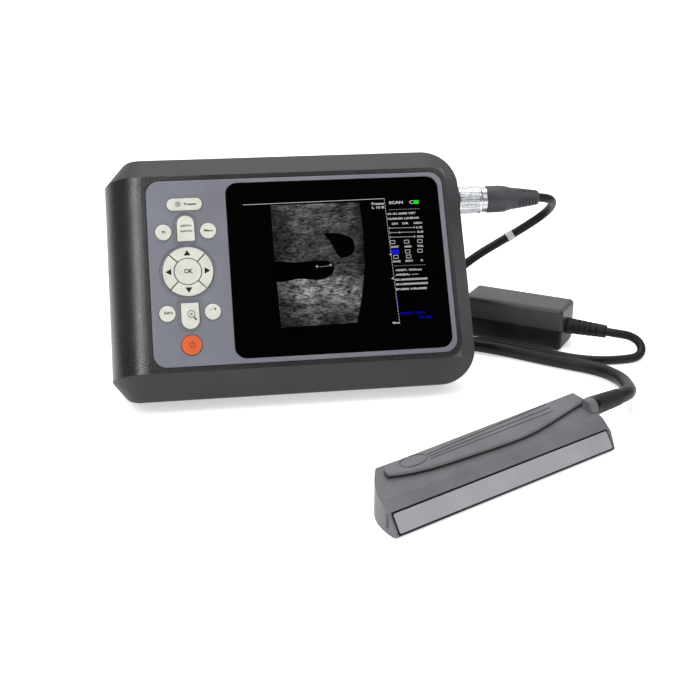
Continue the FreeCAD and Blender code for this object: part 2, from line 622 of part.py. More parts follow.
def grip_outline(t):
    """Outline of the raised grip from above, set in by t."""
    front = Part.BSplineCurve()
    front.interpolate([V(11.3 + t, 23.8 + t, 0), V(30, 20.2 + t, 0), V(59.5, 18.4 + t, 0), V(85, 17.6 + t, 0),
                       V(108.6, 17.9 + t, 0), V(140, 22.3 + t, 0), V(162.2 - t, 25.6 + t, 0)])
    left = Part.Arc(V(18 + t, 30.2 - t, 0), V(12.0 + t, 28.2 - t * 0.7, 0), V(11.3 + t, 23.8 + t, 0)).toShape()
    right = Part.LineSegment(V(162.2 - t, 25.6 + t, 0), V(159 - t, 33.6 - t, 0)).toShape()
    back = Part.LineSegment(V(159 - t, 33.6 - t, 0), V(18 + t, 30.2 - t, 0)).toShape()
    return Part.Face(Part.Wire([left, front.toShape(), right, back])).extrude(V(0, 0, 60))


GRIP_RISE = 3.4


def probe_grip():
    slab = grip_outline(0).common(above_top(1.1, GRIP_RISE))
    top = [e for e in slab.Edges if all(rise_over_top(v.Point) > GRIP_RISE - 0.1 for v in e.Vertexes)]
    slab = slab.makeFillet(0.8, top)
    shape = slab.fuse(grip_outline(1.7).common(above_top(-1, 1.4)))
    shallow = above_top(GRIP_RISE - 0.45, GRIP_RISE + 2)
    for start, stop in ((27.0, 31.6), (25.4, 28.6), (23.8, 25.7)):
        groove = block(0, 95, -0.3, 0.3, 0, 60)
        groove.rotate(V(0, 0, 0), V(0, 0, 1), math.degrees(math.atan2(stop - start, 95)))
        groove.translate(V(40, start, 0))
        shape = shape.cut(groove.common(shallow))
    rings = [Part.Face(Part.Wire(Part.Ellipse(V(30, 26.2, 0), a, b).toShape())).extrude(V(0, 0, 60))
             for a, b in ((9.2, 3.6), (8.6, 3.0))]
    shape = shape.cut(rings[0].cut(rings[1]).common(shallow))
    return shape.cut(turned([(-0.3, 0), (-0.3, 6.6), (10, 6.6), (10, 0)], CABLE_AXIS_AT, cable_axis))


body = probe_solid()
hollow = side_prism(2.2, 3, PROBE_L - 3).common(plan_prism(2.2))
CABLE_AXIS_AT = V(165.0, 24.0, 18.8)
CABLE_DIP, CABLE_SWING = math.radians(3.3), math.radians(4.2)
cable_axis = V(math.cos(CABLE_SWING) * math.cos(CABLE_DIP), math.sin(CABLE_SWING) * math.cos(CABLE_DIP),
               -math.sin(CABLE_DIP))
PROBE_RELIEF = 27.0


def probe_shell(z0, z1):
    shape = body.cut(hollow)
    shape = shape.fuse(turned([(-6.3, 0), (-6.3, 5.6), (0, 6.0), (0, 0)], CABLE_AXIS_AT, cable_axis))
    shape = shape.common(block(-10, 190, -10, 50, z0, z1))
    shape = shape.cut(lens_plate(0.1, -3, 1.6, drop=1.2)).cut(lens_plate(2.3, 0, 4))
    shape = shape.cut(Part.makeCylinder(4.6, 8, CABLE_AXIS_AT - cable_axis * 6.2, cable_axis))
    return shape.cut(Part.makeCylinder(1.5, 6, CABLE_AXIS_AT - cable_axis * 5 - V(0, 0, 6)))


def probe_relief():
    root = turned([(-6, 0), (-6, 4.5), (0, 4.5), (0, 0)], CABLE_AXIS_AT, cable_axis)
    sleeve = turned([(3.2, 0), (3.2, 6.0), (6, 5.9), (22, 5.4), (PROBE_RELIEF, 5.1), (PROBE_RELIEF, 0)],
                    CABLE_AXIS_AT, cable_axis)
    neck = turned([(-1, 0), (-1, 3.4), (3.5, 3.4), (3.5, 0)], CABLE_AXIS_AT, cable_axis)
    return root.fuse([sleeve, neck])


def probe_collar():
    ring = turned([(0.1, 0), (0.1, 6.1), (0.9, 6.1), (0.9, 5.7), (1.3, 5.7), (1.3, 6.1), (2.1, 6.1), (2.1, 5.7),
                   (2.5, 5.7), (2.5, 6.0), (3.1, 6.0), (3.1, 0)], CABLE_AXIS_AT, cable_axis)
    return ring.cut(turned([(-1, 0), (-1, 3.5), (4, 3.5), (4, 0)], CABLE_AXIS_AT, cable_axis)).cut(body)


def marker_ridge():
    ridge = block(-2.9, 2, 7.6, 9.4, 3.2, 10.6)
    return ridge.makeFillet(0.6, ridge.Edges)


probe_top = probe_shell(PROBE_SPLIT, 40)
probe_bottom = probe_shell(-1, PROBE_SPLIT).fuse(marker_ridge().cut(body))
inside = side_prism(2.5, 8, PROBE_L - 8)
save("probe_top", set_probe(probe_top))
save("probe_bottom", set_probe(probe_bottom))
grip = probe_grip().cut(probe_top)
save("probe_grip", set_probe(max(grip.Solids, key=lambda solid: solid.Volume)))
seal = lens_plate(0.15, -0.1, 1.5, 1.5, drop=1.2).cut(lens_plate(1.1, -2, 2, drop=0.7)).common(body)
save("probe_lens", set_probe(lens_plate(1.15, -0.3, 1.4, drop=0.7)))
save("lens_seal", set_probe(seal))
save("crystal_array", set_probe(lens_plate(2.7, 1.6, 2.8).common(block(8, 154, -10, 50, 0, 40))))
save("array_backing", set_probe(lens_plate(2.7, 2.8, 7).common(inside)))
save("probe_board", set_probe(block(20, 140, 15, 27, 6, 7.2)))
save("probe_relief", set_probe(probe_relief()))
save("probe_collar", set_probe(probe_collar()))


# ---- cables -------------------------------------------------------------------------------------
def box_point(x, z):
    a = math.radians(BOX_YAW)
    return V(BOX_AT[0] + x * math.cos(a), BOX_AT[1] + x * math.sin(a), z)


def probe_point(p):
    a = math.radians(PROBE_YAW)
    return V(PROBE_AT[0] + p.x * math.cos(a) - p.y * math.sin(a),
             PROBE_AT[1] + p.x * math.sin(a) + p.y * math.cos(a), p.z)


def cable(name, points, r):
    """A round cable along straight runs joined by tangent arcs, each as large as its runs allow."""
    edges, last, radii = [], points[0], []
    for a, b, c in zip(points, points[1:], points[2:]):
        u, w = (a - b), (c - b)
        cut = 0.45 * min(u.Length, w.Length)
        half = u.getAngle(w) / 2
        radii.append(cut * math.tan(half))
        u.normalize()
        w.normalize()
        start, stop = b + u * cut, b + w * cut
        bis = u + w
        bis.normalize()
        mid = b + bis * (cut / math.cos(half) - radii[-1])
        edges.append(Part.LineSegment(last, start).toShape())
        edges.append(Part.Arc(start, mid, stop).toShape())
        last = stop
    edges.append(Part.LineSegment(last, points[-1]).toShape())
    path = Part.Wire(edges)
    way = points[1] - points[0]
    ring = Part.Wire(Part.Circle(points[0], way, r).toShape())
    shape = path.makePipeShell([ring], True, False)
    print(name, "length %.0f" % path.Length, "volume ratio %.4f" % (shape.Volume / (path.Length * math.pi * r * r)),
          "radii", [round(x) for x in radii])
    save(name, shape)
    return path


LEAD = [lean_point(PLUG_END, PLUG_Y, PLUG_Z), V(184, 51.4, 108.0), V(190.8, 59.6, 102.6), V(192, 70, 94.8),
        V(187, 77, 86.8), V(174.5, 79.5, 77.8), V(158.5, 77.2, 69.8), V(142, 73.2, 62.3), V(126, 69.5, 52.5),
        V(110, 66, 41), V(98, 63, 27.5), V(96, 60.5, 13), V(107.5, 60, 4.2), V(124, 58, LEAD_R),
        V(141, 53.5, LEAD_R), V(158, 43, LEAD_R), V(174, 30.5, LEAD_R), V(187, 18.8, LEAD_R), V(200, 9.8, LEAD_R),
        V(214, 4.8, LEAD_R), V(228, 4.2, LEAD_R), V(240.9, 6.1, LEAD_R), V(246.5, 10.7, 6.1), V(246.5, 17.3, 10.5),
        V(240.9, 21.9, 13.6), V(231.0, 22.8, 15.4), box_point(BOX_L / 2 + 0.1 + RELIEF_OUT, BOX_SPLIT)]
CABLE_IN = [box_point(-BOX_L / 2 - 0.1 - RELIEF_IN, BOX_SPLIT), V(109.4, 109.7, 15.4), V(97, 118.1, 15),
            V(84.9, 127.3, 14.5), V(74.7, 137, 13.9), V(67.4, 147.8, 13.4), V(63.3, 158.5, 13.0)]
CABLE_OUT = [V(20, 93.4, CABLE_R), V(36, 93.9, CABLE_R), V(51.5, 89.2, CABLE_R), V(64, 79.2, CABLE_R),
             V(74, 66.5, CABLE_R), V(86, 55.5, CABLE_R), V(101, 49.6, CABLE_R), V(117, 48.6, CABLE_R),
             V(133.4, 43.9, CABLE_R), V(152, 30.8, CABLE_R), V(172.5, 13.2, CABLE_R), V(190, -0.6, CABLE_R),
             V(200.5, -8.2, CABLE_R), V(208.8, -17.2, CABLE_R), V(212.8, -28, 5.1), V(212.6, -39.3, 6.8),
             V(209.8, -50.5, 9.3), V(206.5, -61.5, 12.2), V(203, -71.8, 15), V(197.8, -79.9, 16.8),
             probe_point(CABLE_AXIS_AT + cable_axis * PROBE_RELIEF)]

cable("plug_lead", LEAD, LEAD_R)
cable("probe_cable_start", CABLE_IN, CABLE_R)
cable("probe_cable", CABLE_OUT, CABLE_R)


def washer(r0, r1, z0, z1):
    base = V(COIL_AT[0], COIL_AT[1], z0)
    return Part.makeCylinder(r1, z1 - z0, base).cut(Part.makeCylinder(r0, z1 - z0, base))


save("probe_cable_coil", washer(COIL_R - 2 * CABLE_R, COIL_R + 2 * CABLE_R, 0, 4 * CABLE_R))
tie = block(-10.4, 10.4, -2.5, 2.5, 0, 19.6).cut(block(-9.4, 9.4, -3, 3, -1, 18.6))
tie.translate(V(COIL_AT[0] - COIL_R, COIL_AT[1], 0))
save("coil_tie", tie)


def lead_tag():
    """Printed sleeve shrunk on the plug lead, on one straight run of it."""
    a, b = LEAD[5], LEAD[6]
    way = (b - a)
    way.normalize()
    base = a + way * 7
    return Part.makeCylinder(3.5, 5.2, base, way).cut(Part.makeCylinder(LEAD_R + 0.06, 5.2, base, way))


save("lead_tag", lead_tag())
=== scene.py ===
"""Looks of the hand-held ultrasound scanner: camera, light, finishes, cables, key legends, screen picture."""
import json
import math

import bmesh
import bpy
from mathutils import Matrix, Vector


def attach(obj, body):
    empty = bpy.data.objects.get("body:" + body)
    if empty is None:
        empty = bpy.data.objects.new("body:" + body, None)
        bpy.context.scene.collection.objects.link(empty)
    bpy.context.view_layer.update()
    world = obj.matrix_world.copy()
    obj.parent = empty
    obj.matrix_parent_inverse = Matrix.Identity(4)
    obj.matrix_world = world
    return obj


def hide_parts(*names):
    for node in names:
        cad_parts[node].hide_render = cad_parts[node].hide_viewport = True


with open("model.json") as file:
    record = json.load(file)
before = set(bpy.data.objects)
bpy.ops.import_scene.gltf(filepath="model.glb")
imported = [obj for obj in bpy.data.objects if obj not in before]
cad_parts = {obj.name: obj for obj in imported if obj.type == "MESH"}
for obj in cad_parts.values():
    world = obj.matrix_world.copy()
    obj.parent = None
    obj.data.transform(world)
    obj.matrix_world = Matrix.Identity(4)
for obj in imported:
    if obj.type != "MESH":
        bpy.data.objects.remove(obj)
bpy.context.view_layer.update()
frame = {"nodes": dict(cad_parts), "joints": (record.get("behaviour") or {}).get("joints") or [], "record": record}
nodes = frame["nodes"]
MM = 0.001
ROOT = "scanner"

# ---- the leaning case's own frame: x along its width, y back from its face, z up its face ---------
press = next(Vector(j["axis"]) for j in frame["joints"] if j["name"] == "key_ok_press")
CASE_AT = Vector((30, -1.84, 83.13))         # middle of the screen on the case's front, millimetres
GLASS_FRONT, KEY_FRONT = -0.35, -1.5         # depths of the cover glass and of the key tops
up = Vector((1, 0, 0)).cross(press)
CASE = Matrix.Translation(CASE_AT * MM) @ Matrix((
    (1, press.x, up.x, 0), (0, press.y, up.y, 0), (0, press.z, up.z, 0), (0, 0, 0, 1)))


def on_case(x, y, z):
    """The place in metres, in the row frame, of a point in millimetres in the case's own frame."""
    return CASE @ (Vector((x, y, z)) * MM)


# ---- camera and studio light --------------------------------------------------------------------
CAMERA_AT = Vector((-0.0629, -0.6661, 0.2957))
CAMERA_DOWN, CAMERA_RIGHT = 22.0, 8.57       # degrees below the horizon, and right of +Y
CAMERA_LENS, SENSOR_WIDTH = 56.57, 36        # millimetres
WORLD_STRENGTH = 0.3


def make_camera():
    camera = bpy.data.objects.new("camera", bpy.data.cameras.new("camera"))
    camera.data.lens = CAMERA_LENS
    camera.data.sensor_width = SENSOR_WIDTH
    camera.data.clip_start = 0.01
    camera.location = CAMERA_AT
    camera.rotation_euler = (math.radians(90 - CAMERA_DOWN), 0, -math.radians(CAMERA_RIGHT))
    bpy.context.scene.collection.objects.link(camera)
    bpy.context.scene.camera = camera


def area_light(name, at, towards, size, watts):
    """A rectangular light that faces a point."""
    data = bpy.data.lights.new(name, "AREA")
    data.shape = "RECTANGLE"
    data.size, data.size_y = size
    data.energy = watts
    light = bpy.data.objects.new(name, data)
    light.location = at
    light.rotation_euler = (Vector(towards) - Vector(at)).to_track_quat("-Z", "Y").to_euler()
    bpy.context.scene.collection.objects.link(light)


def make_studio():
    bpy.context.scene.view_settings.view_transform = "Standard"
    world = bpy.data.worlds.new("studio")
    world.use_nodes = True
    world.node_tree.nodes["Background"].inputs["Color"].default_value = (1, 1, 1, 1)
    world.node_tree.nodes["Background"].inputs["Strength"].default_value = WORLD_STRENGTH
    bpy.context.scene.world = world
    middle = (0.03, 0, 0.07)
    area_light("left_strip", (-0.56, -0.74, 0.91), (-0.1, 0, 0.08), (0.06, 0.9), 7.5)
    area_light("right_key", (0.75, -0.55, 1.1), middle, (0.5, 0.5), 3)
    area_light("top_light", (0.1, 0.4, 1.4), middle, (1.0, 0.8), 11)


make_camera()
make_studio()


# ---- shader helpers -----------------------------------------------------------------------------
def srgb(text):
    """A linear colour from a six-digit hexadecimal one."""
    parts = [int(text[i:i + 2], 16) / 255 for i in (0, 2, 4)]
    return tuple(c / 12.92 if c <= 0.04045 else ((c + 0.055) / 1.055) ** 2.4 for c in parts) + (1.0,)


def add(tree, kind, settings=None, **inputs):
    """A shader node with its settings made and its inputs set or linked; underscores stand for spaces."""
    made = tree.nodes.new(kind)
    for key, value in (settings or {}).items():
        setattr(made, key, value)
    for key, value in inputs.items():
        socket = made.inputs[key.replace("_", " ")]
        if isinstance(value, bpy.types.NodeSocket):
            tree.links.new(value, socket)
        else:
            socket.default_value = value
    return made


def ramp(tree, fac, stops):
    """A colour ramp; stops are (position, colour)."""
    made = add(tree, "ShaderNodeValToRGB", Fac=fac)
    points = made.color_ramp.elements
    while len(points) < len(stops):
        points.new(0.5)
    for point, (position, colour) in zip(points, stops):
        point.position = position
        point.color = colour
    return made.outputs["Color"]


def fit(tree, value, low, high, from_low=0.0, from_high=1.0, smooth=False):
    """A value moved from one range to another."""
    settings = {"interpolation_type": "SMOOTHSTEP" if smooth else "LINEAR"}
    made = add(tree, "ShaderNodeMapRange", settings, Value=value)
    for name, number in (("From Min", from_low), ("From Max", from_high), ("To Min", low), ("To Max", high)):
        made.inputs[name].default_value = number
    return made.outputs["Result"]


def noise(tree, vector, size, detail=2.0, rough=0.5):
    """Noise whose blobs are about size across, in metres."""
    made = add(tree, "ShaderNodeTexNoise", Vector=vector, Scale=1 / size, Detail=detail, Roughness=rough)
    return made.outputs["Fac"]


def math_node(tree, operation, a, b):
    """One arithmetic step on two numbers or sockets."""
    made = tree.nodes.new("ShaderNodeMath")
    made.operation = operation
    for socket, value in zip(made.inputs, (a, b)):
        if isinstance(value, bpy.types.NodeSocket):
            tree.links.new(value, socket)
        else:
            socket.default_value = value
    return made.outputs[0]


def mixed(tree, share, colour, other):
    """A colour with a share of another, fixed, colour over it."""
    mix = add(tree, "ShaderNodeMix", {"data_type": "RGBA"})
    tree.links.new(share, mix.inputs["Factor"])
    tree.links.new(colour, mix.inputs[6])
    mix.inputs[7].default_value = srgb(other)
    return mix.outputs[2]


def new_material(name):
    """An empty material with its shader and the coordinates of the object it goes on."""
    material = bpy.data.materials.new(name)
    material.use_nodes = True
    tree = material.node_tree
    tree.nodes.clear()
    shader = tree.nodes.new("ShaderNodeBsdfPrincipled")
    output = tree.nodes.new("ShaderNodeOutputMaterial")
    tree.links.new(shader.outputs["BSDF"], output.inputs["Surface"])
    coord = tree.nodes.new("ShaderNodeTexCoord").outputs["Object"]
    return material, tree, shader, coord


def finish_surface(name, dark, light, rough, mottle=0.02, grain=0.0006, bump=0.00003, edge=0.0004,
                   metallic=0.0, specular=0.5, speck=None, painted_shadow_below=None):
    """A moulded, cast or plated finish.

    dark and light are the two shades that patches of about mottle metres drift between, rough is the lowest
    and highest roughness, grain and bump are the size and depth of the surface texture, edge is the rounding
    that shows on sharp edges, speck is an optional lighter fleck colour, and the last argument is an optional
    painted shadow: a second, dark colour for what lies under a plane, as (normal, level in metres, colour).
    """
    material, tree, shader, coord = new_material(name)
    patches = noise(tree, coord, mottle, 4)
    fine = noise(tree, coord, grain, 3, 0.6)
    colour = ramp(tree, patches, [(0.3, srgb(dark)), (0.7, srgb(light))])
    if speck:
        flecks = fit(tree, noise(tree, coord, grain * 0.8, 1), 0, 1, 0.62, 0.74)
        colour = mixed(tree, flecks, colour, speck)
    # painted shadow: all that lies under the plane gets the dark colour
    if painted_shadow_below:
        normal, level, shade = painted_shadow_below
        height = add(tree, "ShaderNodeVectorMath", {"operation": "DOT_PRODUCT"})
        tree.links.new(coord, height.inputs[0])
        height.inputs[1].default_value = normal
        under = math_node(tree, "LESS_THAN", height.outputs["Value"], level)
        colour = mixed(tree, under, colour, shade)
    tree.links.new(colour, shader.inputs["Base Color"])
    worn = math_node(tree, "ADD", math_node(tree, "MULTIPLY", patches, 0.6),
                     math_node(tree, "MULTIPLY", fine, 0.4))
    tree.links.new(fit(tree, worn, rough[0], rough[1], 0.3, 0.7), shader.inputs["Roughness"])
    rounded = add(tree, "ShaderNodeBevel", {"samples": 6}, Radius=edge).outputs["Normal"]
    relief = add(tree, "ShaderNodeBump", Height=fine, Distance=bump, Strength=1.0, Normal=rounded)
    tree.links.new(relief.outputs["Normal"], shader.inputs["Normal"])
    shader.inputs["Metallic"].default_value = metallic
    shader.inputs["Specular IOR Level"].default_value = specular
    return material


# the grip's lip is grey and all below it is painted black, a painted shadow for the shade in the gap under the
# lip; heights are straight up from the probe's sloping top, in mm
PROBE_AT, PROBE_TURN, TOP_SLOPE = (33.0, -197.7), math.radians(28), 0.354
TOP_AT_ORIGIN = 16.1 - 13.2 * TOP_SLOPE       # height of the top face's plane above the probe's own origin
LIP_BOTTOM = 2.0
TOP_NORMAL = (TOP_SLOPE * math.sin(PROBE_TURN), -TOP_SLOPE * math.cos(PROBE_TURN), 1.0)
LIP_LEVEL = (TOP_AT_ORIGIN + LIP_BOTTOM + PROBE_AT[0] * TOP_NORMAL[0] + PROBE_AT[1] * TOP_NORMAL[1]) * MM

FINISHES = {
    "front_textured": finish_surface("front_textured", "111113", "161619", (0.22, 0.34), 0.03, 0.0006, 0.0001,
                                     specular=0.6, speck="3c3c41"),
    "housing_satin": finish_surface("housing_satin", "262628", "2f2f32", (0.42, 0.56), 0.04, 0.0005, 0.00003,
                                    specular=0.35),
    "panel_satin": finish_surface("panel_satin", "6c6d76", "747680", (0.42, 0.55), 0.03, 0.0005, 0.000015,
                                  specular=0.35),
    "screen_glass": finish_surface("screen_glass", "000000", "010102", (0.03, 0.08), 0.05, 0.004, 0.0,
                                   edge=0.0002, specular=0.04),
    "key_ivory": finish_surface("key_ivory", "c4c5b9", "d2d3c9", (0.38, 0.5), 0.008, 0.0005, 0.00002,
                                specular=0.3),
    "key_orange": finish_surface("key_orange", "cc5727", "d55f30", (0.35, 0.48), 0.008, 0.0005, 0.00002,
                                 specular=0.3),
    "silicone": finish_surface("silicone", "3a3a3c", "48484b", (0.6, 0.75)),
    "board": finish_surface("board", "0c3a22", "145030", (0.35, 0.5), 0.01),
    "screw_steel": finish_surface("screw_steel", "8a8b8d", "a6a7aa", (0.28, 0.42), 0.003, 0.0003, 0.00001,
                                  0.0002, metallic=1.0),
    "connector_metal": finish_surface("connector_metal", "c4c6ca", "dcdee1", (0.16, 0.3), 0.004, 0.0004,
                                      0.000006, 0.0002, metallic=1.0),
    "battery": finish_surface("battery", "1c2430", "283242", (0.4, 0.5)),
    "black_rubber": finish_surface("black_rubber", "101011", "1a1a1b", (0.55, 0.72), 0.01, 0.0006, 0.00003,
                                   specular=0.3),
    "boot_grey": finish_surface("boot_grey", "3a3a3f", "454549", (0.42, 0.58), 0.01, 0.0006, 0.00002,
                                specular=0.35),
    "cable_jacket": finish_surface("cable_jacket", "0c0d0e", "121315", (0.4, 0.54), 0.02, 0.0008, 0.00002,
                                   specular=0.25),
    "box_black": finish_surface("box_black", "0f0f12", "151518", (0.42, 0.58), 0.02, 0.0006, 0.00003,
                                specular=0.25),
    "box_grey": finish_surface("box_grey", "2d2d30", "37373b", (0.36, 0.5), 0.02, 0.0006, 0.00003,
                               specular=0.5),
    "probe_grey": finish_surface("probe_grey", "626366", "6e6f72", (0.42, 0.55), 0.02, 0.0006, 0.00002,
                                 specular=0.35),
    # the black below the grip's lip is a painted shadow for the shade in the gap under the lip
    "probe_grip": finish_surface("probe_grip", "66676a", "727376", (0.42, 0.56), 0.02, 0.0006, 0.00003,
                                 specular=0.35, painted_shadow_below=(TOP_NORMAL, LIP_LEVEL, "050506")),
    "probe_lens": finish_surface("probe_lens", "97989d", "a0a2a8", (0.4, 0.5), 0.02, 0.0008, 0.00001,
                                 specular=0.3),
    "seal_black": finish_surface("seal_black", "060607", "0b0b0c", (0.5, 0.6), 0.01, specular=0.2),
    "collar_steel": finish_surface("collar_steel", "2c2c2e", "404144", (0.2, 0.34), 0.004, 0.0004, 0.00001,
                                   0.0002, metallic=1.0),
    "tag_white": finish_surface("tag_white", "b9b9b6", "cfcfca", (0.5, 0.6), 0.004),
    "ink_black": finish_surface("ink_black", "0d0d0d", "171717", (0.5, 0.6), 0.004, specular=0.2),
    "ink_power": finish_surface("ink_power", "8a2c10", "983414", (0.5, 0.6), 0.004, specular=0.2),
}
SLOT_FINISH = {
    "housing": "housing_satin", "panel": "panel_satin", "screen_glass": "screen_glass",
    "display": "silicone", "key_ivory": "key_ivory", "key_orange": "key_orange", "silicone": "silicone",
    "board": "board", "parts_black": "black_rubber", "tinned_steel": "screw_steel",
    "screw_steel": "screw_steel", "battery": "battery", "rubber_black": "black_rubber",
    "connector_metal": "connector_metal", "boot_grey": "boot_grey", "cable_jacket": "cable_jacket",
    "box_shell": "box_black", "probe_shell": "probe_grey", "probe_grip": "probe_grip",
    "probe_lens": "probe_lens", "ceramic": "tag_white", "resin": "black_rubber", "tag_white": "tag_white",
}
NODE_FINISH = {
    "front_shell": "front_textured", "box_top": "box_grey", "lens_seal": "seal_black",
    "probe_collar": "collar_steel", "rear_shell": "housing_satin",
}


def paint(obj, finish):
    """Gives an object one of the finishes and no other material."""
    obj.data.materials.clear()
    obj.data.materials.append(FINISHES[finish])


# ---- cables -------------------------------------------------------------------------------------
# the route points repeat those of the CAD model, in millimetres; the coil's turns are worked out below
LEAD_R, CABLE_R = 3.05, 4.6
COIL_AT, COIL_OUTER, COIL_INNER = (20.0, 140.0), 46.6, 37.4
COIL_TOP, COIL_BOTTOM = 13.4, 4.6
COIL_TURN = 1350                             # degrees from where the cable joins the coil to where it leaves
STEP_IN, STEP_DOWN, STEP_OUT = (320, 360), (650, 700), (1000, 1045)      # where the turns cross over, degrees
TURN_STEP = 30
lead_exit = on_case(146, 30, 50) / MM
LEAD = [lead_exit, (184, 51.4, 108.0), (190.8, 59.6, 102.6), (192, 70, 94.8), (187, 77, 86.8),
        (174.5, 79.5, 77.8), (158.5, 77.2, 69.8), (142, 73.2, 62.3), (126, 69.5, 52.5), (110, 66, 41),
        (98, 63, 27.5), (96, 60.5, 13), (107.5, 60, 4.2), (124, 58, LEAD_R), (141, 53.5, LEAD_R),
        (158, 43, LEAD_R), (174, 30.5, LEAD_R), (187, 18.8, LEAD_R), (200, 9.8, LEAD_R), (214, 4.8, LEAD_R),
        (228, 4.2, LEAD_R), (240.9, 6.1, LEAD_R), (246.5, 10.7, 6.1), (246.5, 17.3, 10.5),
        (240.9, 21.9, 13.6), (231.0, 22.8, 15.4), (225.2, 27.1, 15.5)]
CABLE_IN = [(120.8, 101.6, 15.5), (109.4, 109.7, 15.4), (97, 118.1, 15), (84.9, 127.3, 14.5),
            (74.7, 137, 13.9), (68.4, 146.2, 13.5)]
CABLE_OUT = [(20, 93.4, CABLE_R), (36, 93.9, CABLE_R), (51.5, 89.2, CABLE_R), (64, 79.2, CABLE_R),
             (74, 66.5, CABLE_R), (86, 55.5, CABLE_R), (101, 49.6, CABLE_R), (117, 48.6, CABLE_R),
             (133.4, 43.9, CABLE_R), (152, 30.8, CABLE_R), (172.5, 13.2, CABLE_R), (190, -0.6, CABLE_R),
             (200.5, -8.2, CABLE_R), (208.8, -17.2, CABLE_R), (212.8, -28, 5.1), (212.6, -39.3, 6.8),
             (209.8, -50.5, 9.3), (206.5, -61.5, 12.2), (203, -71.8, 15), (197.8, -79.9, 16.8),
             (190.2, -84.7, 17.2)]


def eased(value, low, high):
    """0 up to low, 1 from high on, and a smooth step between them."""
    t = min(max((value - low) / (high - low), 0), 1)
    return t * t * (3 - 2 * t)


def coil_points():
    """Control points of the put-away turns: an outer and an inner turn on top of the same two below."""
    spread = 1 / math.cos(math.radians(TURN_STEP / 2))
    points = []
    for turn in range(TURN_STEP, COIL_TURN, TURN_STEP):
        inward = eased(turn, *STEP_IN) - eased(turn, *STEP_OUT)
        radius = (COIL_OUTER + (COIL_INNER - COIL_OUTER) * inward) * spread
        height = COIL_TOP + (COIL_BOTTOM - COIL_TOP) * eased(turn, *STEP_DOWN)
        a = math.radians(turn)
        points.append((COIL_AT[0] + radius * math.cos(a), COIL_AT[1] + radius * math.sin(a), height))
    return points


def cable(name, points, radius, replaced):
    """A round cable along its control points, shown in place of CAD nodes."""
    curve = bpy.data.curves.new(name, "CURVE")
    curve.dimensions = "3D"
    curve.bevel_depth = radius * MM
    curve.bevel_resolution = 7
    curve.use_fill_caps = True
    curve.resolution_u = 8
    spline = curve.splines.new("NURBS")
    spline.points.add(len(points) - 1)
    for spot, point in zip(spline.points, points):
        spot.co = (*(Vector(point) * MM), 1)
    spline.order_u = 3
    spline.use_endpoint_u = True
    made = bpy.data.objects.new(name, curve)
    bpy.context.scene.collection.objects.link(made)
    paint(made, "cable_jacket")
    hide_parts(*replaced)
    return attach(made, ROOT)


lead = cable("scanner_lead", LEAD, LEAD_R, ["plug_lead"])
probe_cable = cable("probe_lead", CABLE_IN + coil_points() + CABLE_OUT, CABLE_R,
                    ["probe_cable_start", "probe_cable_coil", "probe_cable"])

# ---- CAD nodes get their finishes ----------------------------------------------------------------
for part in frame["record"]["subparts"]:
    paint(nodes[part["node"]], NODE_FINISH.get(part["node"], SLOT_FINISH[part["material_slot"]]))


# ---- printed legends and the picture on the screen -----------------------------------------------
INK = 0.03                                   # half thickness of a printed mark, millimetres
LAYER = 0.04                                 # how far each layer of the picture lies over the one below
LETTER_WEIGHT, LETTER_DEPTH = 0.03, 0.1      # stroke thickening and depth of letters 1 unit high
PICTURE_DEPTH = GLASS_FRONT - 0.05


